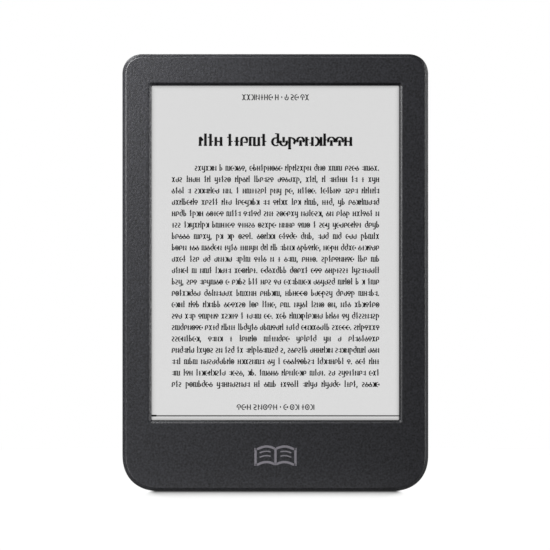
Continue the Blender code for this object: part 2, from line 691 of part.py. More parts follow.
# ---------------------------------------------------------------- ribbon connectors
CONNECTORS = {"display": (11.4, 34.6), "touch": (-21.4, -12.6), "frontlight": (-29.9, -22.7)}
CONNECTOR_Z0, CONNECTOR_Z1 = 17.8, 21.6
HINGE_Y, HINGE_Z = 1.72, CONNECTOR_Z1 - 0.62
HINGE_RADIUS = 0.22
LATCH_FOOT = HINGE_Z - 1.55
# Latch section in (y, z): a flat flap below, a round hinge above
LATCH_PROFILE = [
    (1.50, LATCH_FOOT), (1.88, LATCH_FOOT), (1.94, LATCH_FOOT + 0.1), (1.94, HINGE_Z),
] + arc(HINGE_Y, HINGE_Z, HINGE_RADIUS, 30, 180, 5)


def build_connector(label, x0, x1):
    """A housing, and a latch that turns about an X axis near its top."""
    shape = block((x0, x1), (PART_Y, PART_Y + 1.0), (CONNECTOR_Z0, CONNECTOR_Z1))
    housing = add_object(f"{label}_connector", shape, PALE_NYLON)
    slot = block((x0 + 1.1, x1 - 1.1), around(RIBBON_REAR_Y, 0.11), (CONNECTOR_Z0 - 0.5, 20.5))
    cut(housing, f"{label}_slot", slot)
    bay_z = (CONNECTOR_Z0 + 0.9, CONNECTOR_Z1 + 0.5)
    cut(housing, f"{label}_latch_bay", block((x0 + 0.5, x1 - 0.5), (1.46, 2.6), bay_z))
    latch = skin([[(x, y, z) for y, z in LATCH_PROFILE] for x in (x0 + 0.62, x1 - 0.62)])
    add_object(f"{label}_latch", latch, DARK_NYLON, ((x0 + x1) / 2, HINGE_Y, HINGE_Z))


# ---------------------------------------------------------------- memory card and slot
BAY_X0, BAY_X1 = -46.0, -34.8
CARD_X0, CARD_X1 = BAY_X0 + 0.1, BAY_X1 - 0.1
CARD_NARROW_X1 = BAY_X1 - 0.7  # right edge of the card's lower part
CARD_Z0, CARD_Z1 = 30.8, 45.8


def build_memory_card():
    """The card leaves its slot along +Z."""
    slot_x = (BAY_X0 - 1.0, BAY_X1 + 1.0)
    slot = add_object("microsd_slot", block(slot_x, (PART_Y, PART_Y + 1.35), (29.6, 44.4)), STEEL)
    bay_y = (PART_Y + 0.25, PART_Y + 1.15)
    cut(slot, "sd_slot_bay", block((BAY_X0 - 0.1, BAY_X1 + 0.1), bay_y, (30.6, 46.0)))
    outline = [
        (CARD_X0, CARD_Z0), (BAY_X1 - 1.5, CARD_Z0), (CARD_NARROW_X1, 32.0),
        (CARD_NARROW_X1, 36.0), (CARD_X1, 36.6), (CARD_X1, CARD_Z1), (CARD_X0, CARD_Z1),
    ]
    origin = ((CARD_X0 + CARD_X1) / 2, PART_Y + 0.7, (CARD_Z0 + CARD_Z1) / 2)
    card = prism(outline, (PART_Y + 0.35, PART_Y + 1.05))
    add_object("microsd_card", card, EPOXY, origin)


# ---------------------------------------------------------------- power switch
def build_power_switch():
    """The switch in front of the button, with a plunger that slides along Y."""
    z_span = (BUTTON_Z - 2.25, BUTTON_Z + 1.95)
    case = block(around(BUTTON_X, 2.25), (PART_Y, 1.95), z_span, radius=0.3, facets=2)
    switch = add_object("tact_switch", case, STEEL)
    cut(switch, "switch_bore", cylinder(BUTTON, 1.25, (1.22, 2.4), 16))
    plunger = turned(BUTTON, [(1.16, 1.60), (1.16, 2.28), (1.02, 2.38)], 16)
    add_object("switch_plunger", plunger, DARK_NYLON, (BUTTON_X, 2.0, BUTTON_Z))


# ---------------------------------------------------------------- magnets and screws
SHANK_RADIUS = 0.60
HEAD_RADIUS, HEAD_HEIGHT = 1.3, 0.62
CROSS_REACH, CROSS_HALF = 0.80, 0.17  # length and half width of each arm of the recess


def build_magnets():
    for label, z in (("upper", 114.0), ("lower", 62.0)):
        shape = block((50.0, 53.0), (-3.52, -2.02), around(z, 6.0), radius=0.15, facets=1)
        add_object(f"cover_magnet_{label}", shape, NICKEL)


def build_screw(name, centre, seat_y, length):
    """A pan-head screw, its shank towards -Y, with a cross recess in the head."""
    head_top = seat_y + HEAD_HEIGHT
    profile = [
        (SHANK_RADIUS - 0.18, seat_y - length),
        (SHANK_RADIUS, seat_y - length + 0.2),
        (SHANK_RADIUS, seat_y),
        (HEAD_RADIUS, seat_y),
        (HEAD_RADIUS, head_top - 0.22),
        (HEAD_RADIUS - 0.25, head_top),
    ]
    body = add_object(name, turned(centre, profile, 12), SCREW_STEEL)
    far, near = CROSS_REACH, CROSS_HALF
    cross = [
        (far, -near), (far, near), (near, near), (near, far), (-near, far), (-near, near),
        (-far, near), (-far, -near), (-near, -near), (-near, -far), (near, -far), (near, -near),
    ]
    x, z = centre
    outline = [(x + across, z + up) for across, up in cross]
    cut(body, name + "_recess", prism(outline, (head_top - 0.36, head_top + 0.3)))


def build_screws():
    for label, centres, rear, length in (
        ("frame", FRAME_SCREWS, FRAME_REAR, 2.2),
        ("board", BOARD_SCREWS, BOARD_REAR, 2.4),
    ):
        for k, centre in enumerate(centres):
            build_screw(f"{label}_screw_{k + 1}", centre, rear + 0.04, length)


build_front_bezel()
build_back_cover()
build_power_button()
build_usb_receptacle()
build_display_stack()
build_led_strip()
build_ribbons()
build_mid_frame()
build_battery()
build_main_board()
build_shield_can()
build_chips()
for connector, (left, right) in CONNECTORS.items():
    build_connector(connector, left, right)
build_memory_card()
build_power_switch()
build_magnets()
build_screws()
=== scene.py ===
"""Looks of a 6-inch e-reader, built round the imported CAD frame.

It stands upright on its lower edge: +Z up, +X to the right of the screen, which faces -Y.
Meshes are drawn in millimetres and scaled to metres; materials, lights and camera use metres.
"""

import json
import math
import random

import bmesh
import bpy
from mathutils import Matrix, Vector

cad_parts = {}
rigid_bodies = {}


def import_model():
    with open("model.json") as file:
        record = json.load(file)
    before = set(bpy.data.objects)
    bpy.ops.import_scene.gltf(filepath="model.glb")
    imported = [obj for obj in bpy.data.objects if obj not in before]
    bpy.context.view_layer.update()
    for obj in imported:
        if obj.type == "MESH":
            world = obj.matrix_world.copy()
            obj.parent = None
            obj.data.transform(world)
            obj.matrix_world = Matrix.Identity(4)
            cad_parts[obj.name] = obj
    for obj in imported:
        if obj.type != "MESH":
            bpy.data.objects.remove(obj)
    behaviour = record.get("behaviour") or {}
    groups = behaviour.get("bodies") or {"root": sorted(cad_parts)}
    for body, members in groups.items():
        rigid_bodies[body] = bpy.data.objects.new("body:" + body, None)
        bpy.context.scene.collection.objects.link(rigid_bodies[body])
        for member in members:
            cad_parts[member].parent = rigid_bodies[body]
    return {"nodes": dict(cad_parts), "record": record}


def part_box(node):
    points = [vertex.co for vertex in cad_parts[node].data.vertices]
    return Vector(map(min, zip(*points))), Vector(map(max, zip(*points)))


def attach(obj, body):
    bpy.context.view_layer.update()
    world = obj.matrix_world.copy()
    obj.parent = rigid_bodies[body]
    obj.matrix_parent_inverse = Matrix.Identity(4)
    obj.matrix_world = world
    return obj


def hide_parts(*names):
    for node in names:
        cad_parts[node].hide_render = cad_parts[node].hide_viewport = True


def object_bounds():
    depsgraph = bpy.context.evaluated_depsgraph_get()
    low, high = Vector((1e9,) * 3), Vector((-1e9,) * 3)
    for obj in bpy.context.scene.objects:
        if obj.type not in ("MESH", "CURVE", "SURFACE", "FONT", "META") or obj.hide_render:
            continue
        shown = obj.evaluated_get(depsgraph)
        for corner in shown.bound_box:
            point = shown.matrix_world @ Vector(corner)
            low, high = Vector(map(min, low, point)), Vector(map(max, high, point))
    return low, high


for old in list(bpy.data.objects):
    bpy.data.objects.remove(old, do_unlink=True)

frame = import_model()
nodes = frame["nodes"]
cad_lo, cad_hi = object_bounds()
slot_of = {part["node"]: part["material_slot"] for part in frame["record"]["subparts"]}
scene = bpy.context.scene
MM = 0.001

# ---------------------------------------------------------------- sizes, in millimetres
# body, from the CAD box
WIDTH, HEIGHT = (cad_hi.x - cad_lo.x) / MM, (cad_hi.z - cad_lo.z) / MM
FRONT, BACK = cad_lo.y / MM, cad_hi.y / MM
TOP_R, BOTTOM_R = 7.3, 13.4
TOP_POWER, BOTTOM_POWER = 2.12, 2.26  # superellipse exponents of the corners
CORNER_STEPS = 28

# the face's crisp shoulder: where it starts, its radius, and how many degrees it turns
RIM_INSET, RIM_R, RIM_TURN = 1.58, 0.62, 55.0
SEAM_Y, SEAM_GAP = -2.62, 0.12
PLATE_BACK, LIP_INSET = -3.60, 1.5

# opening round the screen
OPEN_X, OPEN_Z0, OPEN_Z1 = 45.28, 26.01, 148.38
SLOPE_W = 1.4

# back cover: the rolled edge starts at ROLL_Y0 and reaches the flat back ROLL_W inwards
ROLL_Y0, ROLL_W = -0.2, 5.2
WALL, INNER_ROLL_W, FLOOR_Y = 1.4, 4.4, 3.40

button_lo, button_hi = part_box("power_button")
BUTTON_X = (button_lo.x + button_hi.x) / 2 / MM
BUTTON_Z = (button_lo.z + button_hi.z) / 2 / MM
BUTTON_R = 4.45
BUTTON_STEPS, SMALL_STEPS = 96, 40
PIPE_Z = BUTTON_Z + 2.9

USB_Y = -0.15

paper_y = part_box("epaper_film")[0].y / MM
INK_DEPTH = (paper_y - 0.014, paper_y - 0.004)  # front and rear of the page marks
SIGN_DEPTH = (FRONT - 0.012, FRONT - 0.001)

STAGE_R = 385.0
FLOOR_BOUNCE = 0.20  # how bright the floor is to anything but the camera
# strength of the painted glow of the e-paper
PAGE_GLOW = 0.627


# ---------------------------------------------------------------- outlines
def corner(cx, cz, radius, power, start):
    """A quarter of a superellipse, from the start angle through 90 degrees."""
    points = []
    for i in range(CORNER_STEPS + 1):
        a = math.radians(start + 90 * i / CORNER_STEPS)
        c, s = math.cos(a), math.sin(a)
        x = cx + radius * math.copysign(abs(c) ** (2 / power), c)
        z = cz + radius * math.copysign(abs(s) ** (2 / power), s)
        points.append((x, z))
    return points


def rounded_box(x, z0, z1, low, high):
    """Counter-clockwise outline seen from the front; low and high are (radius, power)."""
    low_r, high_r = low[0], high[0]
    return (
        corner(x - low_r, z0 + low_r, *low, -90)
        + corner(x - high_r, z1 - high_r, *high, 0)
        + corner(-x + high_r, z1 - high_r, *high, 90)
        + corner(-x + low_r, z0 + low_r, *low, 180)
    )


def outline(inset):
    """The body's outline, drawn in by inset."""
    low, high = (BOTTOM_R - inset, BOTTOM_POWER), (TOP_R - inset, TOP_POWER)
    return rounded_box(WIDTH / 2 - inset, inset, HEIGHT - inset, low, high)


def opening(grow):
    """The screen opening's outline, let out by grow."""
    round_off = (0.5 + 0.45 * grow, 2.0)
    return rounded_box(OPEN_X + grow, OPEN_Z0 - grow, OPEN_Z1 + grow, round_off, round_off)


def arc(cx, cz, rx, rz, start, end, steps=8):
    points = []
    for i in range(steps + 1):
        a = math.radians(start + (end - start) * i / steps)
        points.append((cx + rx * math.cos(a), cz + rz * math.sin(a)))
    return points


def disc(cx, cz, radius, steps):
    angles = [2 * math.pi * i / steps for i in range(steps)]
    return [(cx + radius * math.cos(a), cz + radius * math.sin(a)) for a in angles]


def bezier(start, pull, end, steps=8):
    """Points of a quadratic curve after its start point."""
    points = []
    for k in range(1, steps + 1):
        t = k / steps
        weights = (1 - t) ** 2, 2 * t * (1 - t), t * t
        points.append(tuple(
            weights[0] * a + weights[1] * b + weights[2] * c
            for a, b, c in zip(start, pull, end)
        ))
    return points


# ---------------------------------------------------------------- mesh helpers
def skin(loops, cyclic=False):
    """Quads between loops of 3-D points; the ends are capped unless the loops are cyclic."""
    bm = bmesh.new()
    rows = [[bm.verts.new(p) for p in loop] for loop in loops]
    pairs = list(zip(rows, rows[1:]))
    if cyclic:
        pairs.append((rows[-1], rows[0]))
    for a, b in pairs:
        for i in range(len(a)):
            j = (i + 1) % len(a)
            bm.faces.new((a[i], a[j], b[j], b[i]))
    if not cyclic:
        bm.faces.new(rows[0])
        bm.faces.new(list(reversed(rows[-1])))
    return bm


def loft(rings, cyclic=False):
    """Skins rings given as (x-z outline, y)."""
    return skin([[(x, y, z) for x, z in points] for points, y in rings], cyclic)


def turned(cx, cz, profile, steps):
    """A solid turned round an axis along Y; the profile is (radius, y)."""
    return loft([(disc(cx, cz, radius, steps), y) for radius, y in profile])


def smooth(mesh):
    mesh.shade_smooth()
    mesh.set_sharp_from_angle(angle=math.radians(38))


def piece(name, bm, mat):
    bmesh.ops.remove_doubles(bm, verts=bm.verts, dist=1e-5)
    bmesh.ops.recalc_face_normals(bm, faces=bm.faces)
    for v in bm.verts:
        v.co *= MM
    mesh = bpy.data.meshes.new(name)
    bm.to_mesh(mesh)
    bm.free()
    if mat is not None:
        mesh.materials.append(mat)
    smooth(mesh)
    obj = bpy.data.objects.new(name, mesh)
    scene.collection.objects.link(obj)
    return obj


def carve(obj, tools, operation="DIFFERENCE"):
    """Applies Booleans with throw-away tool meshes and leaves a plain mesh."""
    for bm in tools:
        tool = piece("tool", bm, None)
        cut = obj.modifiers.new("cut", "BOOLEAN")
        cut.operation, cut.object, cut.solver = operation, tool, "EXACT"
        depsgraph = bpy.context.evaluated_depsgraph_get()
        mesh = bpy.data.meshes.new_from_object(obj.evaluated_get(depsgraph))
        obj.modifiers.clear()
        obj.data = mesh
        bpy.data.objects.remove(tool, do_unlink=True)
    smooth(obj.data)


def enter(obj, carrier="reader", replaced=None):
    """Hides the CAD node an object replaces and hangs the object on the body that carries it."""
    if replaced:
        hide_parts(replaced)
    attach(obj, carrier)


# ---------------------------------------------------------------- material helpers
def grey(v):
    return (v, v, v, 1.0)


def rgba(colour):
    return (*colour, 1.0)


class Nodes:
    """Short calls for building a node material."""

    def __init__(self, name):
        self.mat = bpy.data.materials.new(name)
        self.mat.use_nodes = True
        self.tree = self.mat.node_tree
        self.tree.nodes.clear()
        self.out = self.new("OutputMaterial")
        self.space = self.new("TexCoord").outputs["Object"]

    def new(self, kind):
        return self.tree.nodes.new("ShaderNode" + kind)

    def put(self, socket, value):
        if isinstance(value, bpy.types.NodeSocket):
            self.tree.links.new(value, socket)
        else:
            socket.default_value = value

    def add(self, kind, *in_order, **by_name):
        """A node with its inputs set by position or by name, with _ for a space."""
        node = self.new(kind)
        for i, value in enumerate(in_order):
            self.put(node.inputs[i], value)
        for key, value in by_name.items():
            self.put(node.inputs[key.replace("_", " ")], value)
        return node

    def noise(self, scale, detail=3.0, rough=0.6, stretch=None, distortion=0.0):
        vector = self.space
        if stretch:
            vector = self.add("Mapping", Vector=vector, Scale=stretch).outputs[0]
        return self.add(
            "TexNoise", Vector=vector, Scale=scale, Detail=detail,
            Roughness=rough, Distortion=distortion,
        ).outputs["Fac"]

    def cells(self, scale):
        return self.add("TexVoronoi", Vector=self.space, Scale=scale).outputs["Distance"]

    def wave(self, scale, direction="X", distortion=0.0, detail=0.0, detail_scale=1.0):
        node = self.add(
            "TexWave", Vector=self.space, Scale=scale, Distortion=distortion,
            Detail=detail, Detail_Scale=detail_scale,
        )
        node.bands_direction = direction
        return node.outputs["Color"]

    def math(self, operation, a, b=0.0, clamp=False):
        node = self.new("Math")
        node.operation, node.use_clamp = operation, clamp
        self.put(node.inputs[0], a)
        self.put(node.inputs[1], b)
        return node.outputs[0]

    def plus(self, a, b):
        return self.math("ADD", a, b)

    def minus(self, a, b):
        return self.math("SUBTRACT", a, b)

    def less(self, a, b):
        return self.math("LESS_THAN", a, b)

    def greater(self, a, b):
        return self.math("GREATER_THAN", a, b)

    def times(self, first, *rest):
        for factor in rest:
            first = self.math("MULTIPLY", first, factor)
        return first

    def ramp(self, value, stops):
        """A colour ramp through (position, grey value) stops."""
        node = self.add("ValToRGB", value)
        elements = node.color_ramp.elements
        while len(elements) < len(stops):
            elements.new(0.5)
        for element, (position, tone) in zip(elements, stops):
            element.position = position
            element.color = grey(tone)
        return node.outputs[0]

    def remap(self, value, span, onto=(0.0, 1.0)):
        return self.add(
            "MapRange", Value=value, From_Min=span[0], From_Max=span[1],
            To_Min=onto[0], To_Max=onto[1],
        ).outputs[0]

    def mix(self, fac, a, b):
        node = self.new("Mix")
        node.data_type = "RGBA"
        for i, value in ((0, fac), (6, a), (7, b)):
            self.put(node.inputs[i], value)
        return node.outputs[2]

    def bump(self, height, strength, distance, **normal):
        return self.add(
            "Bump", Strength=strength, Distance=distance, Height=height, **normal
        ).outputs[0]

    def surface(self, node):
        self.tree.links.new(node.outputs[0], self.out.inputs["Surface"])

    def principled(self, **inputs):
        self.surface(self.add("BsdfPrincipled", **inputs))


# ---------------------------------------------------------------- materials
def painted_slope_light_and_shade(m):
    """Masks on the slope round the screen: painted shade on its foot and top side, and a painted
    highlight on its left side.
    """
    foot_y = (-0.00438, -0.00412)
    slope_y = (-0.00458, -0.00448)
    margin = 2.5
    left_x = -(OPEN_X - 0.1) * MM
    at = m.add("SeparateXYZ", Vector=m.space)
    x, y, z = (at.outputs[axis] for axis in "XYZ")
    inside = m.times(
        m.less(m.math("ABSOLUTE", x), (OPEN_X + margin) * MM),
        m.greater(x, left_x),
        m.less(z, (OPEN_Z1 + margin) * MM),
        m.greater(z, (OPEN_Z0 - margin) * MM),
    )
    low = m.remap(y, foot_y)
    painted_top_shade = m.times(m.greater(z, OPEN_Z1 * MM), m.remap(y, slope_y))
    dark = m.times(inside, m.math("MAXIMUM", low, painted_top_shade))
    left = m.times(
        m.times(m.less(x, left_x), m.greater(x, -(OPEN_X + 1.7) * MM)),
        m.times(m.less(z, OPEN_Z1 * MM), m.greater(z, OPEN_Z0 * MM)),
        m.remap(y, slope_y),
    )
    return dark, left


def moulded(name, colour, rough, grain, cell, spec=0.5, speckle=0.10, slope=False):
    """Matt moulded plastic: grain of bump strength grain and scale cell, slight cloudiness,
    tone varied by speckle, and edges a touch smoother; with slope, painted shade and a
    painted highlight on the slope round the screen."""
    m = Nodes(name)
    both_ways, rough_change = (-1.0, 1.0), 0.05
    cloud = m.noise(38.0, detail=3.0, rough=0.55)
    coarse = m.noise(cell, detail=2.0, rough=0.55)
    fine = m.noise(cell * 2.6, detail=1.0, rough=0.6)
    pits = m.cells(cell * 0.9)
    mottle = m.plus(
        m.times(m.remap(coarse, (0.32, 0.68), both_ways), 0.65),
        m.times(m.remap(pits, (0.15, 0.75), both_ways), 0.35),
    )
    tone = m.plus(
        m.remap(mottle, both_ways, (1.0 - speckle, 1.0 + speckle)),
        m.remap(cloud, (0.35, 0.65), (-0.03, 0.03)),
    )
    # painted shade darkens the slope's foot and top side, and a painted highlight lightens its left
    # side, in tone and in specular level
    if slope:
        dark, left = painted_slope_light_and_shade(m)
        on, painted_light_gain = (0.0, 1.0), (1.0, 1.35)
        change = m.times(m.remap(dark, on, (1.0, 0.45)), m.remap(left, on, painted_light_gain))
        tone = m.times(tone, change)
        spec = m.times(m.remap(dark, on, (spec, spec * 0.30)), m.remap(left, on, painted_light_gain))
    base = m.add("VectorMath", colour)
    base.operation = "SCALE"
    m.put(base.inputs["Scale"], tone)
    edge = m.remap(m.new("NewGeometry").outputs["Pointiness"], (0.50, 0.56), (0.0, 0.05))
    roughness = m.remap(mottle, both_ways, (rough + rough_change, rough - rough_change))
    height = m.plus(mottle, m.times(fine, 0.35))
    m.principled(
        Base_Color=base.outputs[0],
        Roughness=m.minus(roughness, edge),
        Normal=m.bump(height, strength=grain, distance=0.00006),
        IOR=1.49,
        Specular_IOR_Level=spec,
    )
    return m.mat


def clear_layer(name, rough, gloss, etch=0.0):
    """A clear sheet: light passes straight through, and a weak reflection stays on its face.
    Gloss is the reflection seen straight on; etch is the strength of its fine bump."""
    m = Nodes(name)
    straight_on = 0.022  # what a surface of the IOR below reflects head-on
    through = m.add("BsdfTransparent", Color=grey(1.0))
    fine = m.noise(5200.0, detail=2.0, rough=0.7)
    roughness = m.remap(fine, (0.3, 0.7), (rough - 0.03, rough + 0.03))
    glossy = m.add("BsdfGlossy", Color=grey(1.0), Roughness=roughness)
    if etch:
        m.put(glossy.inputs["Normal"], m.bump(fine, strength=etch, distance=0.00001))
    rear = m.new("NewGeometry").outputs["Backfacing"]
    fresnel = m.add("Fresnel", IOR=1.35).outputs[0]
    share = m.times(fresnel, gloss / straight_on)
    share = m.math("MULTIPLY", share, m.minus(1.0, rear), clamp=True)
    m.surface(m.add("MixShader", share, through.outputs[0], glossy.outputs[0]))
    return m.mat


ALONG_Z, EVEN = (1, 1, 14), (1, 1, 1)
METALS = {
    # colour, roughness, stretch and scale of the grain, bump strength, darkening of marks
    "tinned_sheet": ((0.66, 0.66, 0.67), 0.28, ALONG_Z, 900.0, 0.12, 0.15),
    "cast_alloy": ((0.45, 0.46, 0.48), 0.44, EVEN, 2600.0, 0.35, 0.10),
    "nickel_plate": ((0.60, 0.58, 0.54), 0.20, EVEN, 1500.0, 0.06, 0.15),
    "black_zinc": ((0.16, 0.16, 0.17), 0.34, EVEN, 3200.0, 0.2, 0.15),
    "contact_gold": ((0.80, 0.58, 0.24), 0.22, ALONG_Z, 2200.0, 0.12, 0.15),
}


def metal(name):
    """Rolled, cast or plated metal with fine grain and slight handling marks."""
    colour, rough, stretch, scale, strength, dirt = METALS[name]
    m = Nodes(name)
    grain = m.noise(scale, stretch=stretch)
    cloud = m.noise(60.0)
    dark = tuple(c * (1 - dirt) for c in colour)
    m.principled(
        Base_Color=m.mix(m.remap(cloud, (0.35, 0.65)), rgba(dark), rgba(colour)),
        Metallic=1.0,
        Roughness=m.plus(
            m.remap(grain, (0.3, 0.7), (rough - 0.07, rough + 0.07)),
            m.remap(cloud, (0.3, 0.7), (-0.03, 0.03)),
        ),
        Normal=m.bump(grain, strength=strength, distance=0.00003),
    )
    return m.mat


PLAIN = {
    # two close tones, roughness, scale of the grain, bump strength, specular level
    "backplane_glass_face": ((0.20, 0.24, 0.22), (0.24, 0.28, 0.26), 0.12, 300.0, 0.02, 0.5),
    "foam_tape": ((0.008, 0.008, 0.008), (0.016, 0.016, 0.017), 0.85, 3800.0, 0.7, 0.3),
    "chip_epoxy_face": ((0.012, 0.012, 0.013), (0.021, 0.021, 0.022), 0.52, 6200.0, 0.45, 0.5),
    "natural_nylon": ((0.62, 0.58, 0.48), (0.70, 0.66, 0.56), 0.48, 2600.0, 0.2, 0.5),
    "black_nylon": ((0.016, 0.016, 0.017), (0.028, 0.028, 0.029), 0.42, 3000.0, 0.25, 0.5),
    "milky_lens": ((0.80, 0.76, 0.58), (0.88, 0.84, 0.66), 0.25, 900.0, 0.05, 0.5),
    "wire_red_sleeve": ((0.36, 0.012, 0.012), (0.46, 0.020, 0.018), 0.38, 1800.0, 0.1, 0.5),
    "wire_black_sleeve": ((0.012, 0.012, 0.012), (0.022, 0.022, 0.022), 0.38, 1800.0, 0.1, 0.5),
    "page_ink": ((0.006, 0.006, 0.006), (0.010, 0.010, 0.010), 0.8, 4000.0, 0.0, 0.1),
    "page_ink_soft": ((0.250, 0.250, 0.252), (0.270, 0.270, 0.272), 0.8, 4000.0, 0.0, 0.1),
    "pad_print": ((0.125, 0.118, 0.135), (0.145, 0.138, 0.155), 0.5, 5200.0, 0.2, 0.4),
    "pipe_lens": ((0.55, 0.57, 0.60), (0.62, 0.64, 0.66), 0.18, 700.0, 0.02, 0.5),
}


def plain(name):
    """Small moulded or coated parts: two tones broken up by noise, with fine bump."""
    dark, light, rough, scale, strength, spec = PLAIN[name]
    m = Nodes(name)
    grain = m.noise(scale)
    m.principled(
        Base_Color=m.mix(m.remap(grain, (0.35, 0.65)), rgba(dark), rgba(light)),
        Roughness=m.remap(grain, (0.3, 0.7), (rough - 0.06, rough + 0.06)),
        Normal=m.bump(grain, strength=strength, distance=0.00002),
        Specular_IOR_Level=spec,
    )
    return m.mat


def paper_material():
    """The e-paper face: a matt field of minute cells with a painted glow, dimmed near its edges as a
    painted shadow of the bezel's walls.
    """
    m = Nodes("epaper_face")
    # share of the edge band crossed, glow; the dimming near the edges is a painted shadow
    painted_edge_shadow_stops = [(0.0, 0.60), (0.12, 0.70), (0.30, 0.85), (0.50, 0.945), (0.75, 0.985), (1.0, 1.0)]
    edge_band = (0.0, 0.0020)
    grain = m.cells(9000.0)
    cloud = m.noise(25.0, detail=2.0, rough=0.5)
    at = m.add("SeparateXYZ", Vector=m.space)
    side = m.minus(OPEN_X * MM, m.math("ABSOLUTE", at.outputs["X"]))
    foot = m.minus(at.outputs["Z"], OPEN_Z0 * MM)
    head = m.minus(OPEN_Z1 * MM, at.outputs["Z"])
    nearest = m.math("MINIMUM", side, m.math("MINIMUM", foot, head))
    painted_edge_shadow = m.ramp(m.remap(nearest, edge_band), painted_edge_shadow_stops)
    glow = m.times(painted_edge_shadow, m.remap(cloud, (0.3, 0.7), (PAGE_GLOW * 0.997, PAGE_GLOW * 1.003)))
    m.principled(
        Base_Color=m.mix(m.remap(grain, (0.2, 0.8)), grey(0.400), grey(0.424)),
        Roughness=0.75,
        Specular_IOR_Level=0.10,
        Normal=m.bump(grain, strength=0.10, distance=0.00001),
        Emission_Color=grey(1.0),
        Emission_Strength=m.times(glow, m.remap(grain, (0.2, 0.8), (0.985, 1.015))),
    )
    return m.mat


def board_material():
    """Green solder mask over faint copper tracks, with plated dots."""
    m = Nodes("solder_mask")
    across = m.wave(190.0, "X", distortion=3.5, detail=1.0, detail_scale=1.4)
    upright = m.wave(170.0, "Z", distortion=3.0, detail=1.0, detail_scale=1.2)
    region = m.remap(m.noise(70.0, detail=1.0, rough=0.4), (0.47, 0.53))
    tracks = m.remap(m.mix(region, across, upright), (0.62, 0.70))
    dots = m.remap(m.cells(520.0), (0.13, 0.10))
    mask = m.mix(tracks, (0.010, 0.075, 0.036, 1), (0.020, 0.125, 0.060, 1))
    height = m.plus(m.times(tracks, 0.7), dots)
    m.principled(
        Base_Color=m.mix(dots, mask, (0.33, 0.30, 0.16, 1)),
        Roughness=0.34,
        Normal=m.bump(height, strength=0.35, distance=0.00003),
        Metallic=m.times(dots, 0.7),
    )
    return m.mat


def flex_material():
    """Amber polyimide with parallel copper tracks under its cover film."""
    m = Nodes("flex_film")
    tracks = m.remap(m.wave(420.0), (0.45, 0.6))
    cloud = m.noise(240.0, detail=2.0, rough=0.5)
    m.principled(
        Base_Color=m.mix(tracks, (0.34, 0.130, 0.022, 1), (0.52, 0.235, 0.060, 1)),
        Roughness=m.remap(cloud, (0.3, 0.7), (0.26, 0.38)),
        Normal=m.bump(tracks, strength=0.25, distance=0.00002),
    )
    return m.mat


def pouch_material():
    """Aluminium laminate of a soft-pack cell, slightly wrinkled."""
    m = Nodes("cell_pouch_foil")
    folds = m.noise(120.0, detail=4.0, rough=0.55, stretch=(1.0, 1.0, 0.5), distortion=1.2)
    fine = m.noise(2600.0, detail=2.0, rough=0.6)
    wrinkles = m.bump(folds, strength=0.35, distance=0.0002)
    tone = m.remap(folds, (0.35, 0.65))
    m.principled(
        Base_Color=m.mix(tone, (0.42, 0.43, 0.45, 1), (0.52, 0.53, 0.55, 1)),
        Metallic=0.75,
        Roughness=m.remap(fine, (0.3, 0.7), (0.34, 0.44)),
        Normal=m.bump(fine, strength=0.15, distance=0.00002, Normal=wrinkles),
    )
    return m.mat


SHELL_TONE = (0.0138, 0.0140, 0.0163)
COVER_TONE = (0.0145, 0.0147, 0.0162)
# the shell carries painted shade and a painted highlight on the slope round the screen
shell = moulded(
    "shell_moulded", SHELL_TONE, rough=0.40, grain=0.38, cell=1350.0,
    spec=0.42, speckle=0.80, slope=True,
)
cover = moulded("cover_moulded", COVER_TONE, rough=0.46, grain=0.38, cell=1500.0, speckle=0.25)
button_plastic = moulded("button_moulded", COVER_TONE, rough=0.40, grain=0.25, cell=2400.0)
materials = {
    "shell_plastic": shell,
    "cover_plastic": cover,
    "clear_plastic": clear_layer("clear_sheet", rough=0.10, gloss=0.0),
    "paper_film": paper_material(),
    "backplane_glass": plain("backplane_glass_face"),
    "black_tape": plain("foam_tape"),
    "flex_polyimide": flex_material(),
    "stamped_steel": metal("tinned_sheet"),
    "frame_alloy": metal("cast_alloy"),
    "board_green": board_material(),
    "chip_epoxy": plain("chip_epoxy_face"),
    "connector_nylon": plain("natural_nylon"),
    "latch_nylon": plain("black_nylon"),
    "cell_pouch": pouch_material(),
    "led_lens": plain("milky_lens"),
    "wire_red": plain("wire_red_sleeve"),
    "wire_black": plain("wire_black_sleeve"),
    "magnet_nickel": metal("nickel_plate"),
    "screw_steel": metal("black_zinc"),
}
for name, obj in nodes.items():
    obj.data.materials.clear()
    obj.data.materials.append(materials[slot_of[name]])
anti_glare = clear_layer("anti_glare_face", rough=0.34, gloss=0.02, etch=0.2)
nodes["touch_panel"].data.materials[0] = anti_glare
gold = metal("contact_gold")
ink = plain("page_ink")
ink_soft = plain("page_ink_soft")
pad_ink = plain("pad_print")


# ---------------------------------------------------------------- front bezel
def rim():
    """Inset and depth from the face: a tight shoulder, then a long curve to the seam."""
    steps = 8
    points = []
    for k in range(steps + 1):
        a = math.radians(RIM_TURN * k / steps)
        points.append((RIM_INSET - RIM_R * math.sin(a), RIM_R * (1 - math.cos(a))))
    inset, depth = points[-1]
    pull_depth = depth + inset * math.tan(math.radians(RIM_TURN))
    return points + bezier(points[-1], (0.0, pull_depth), (0.0, SEAM_Y - 0.05 - FRONT), steps)


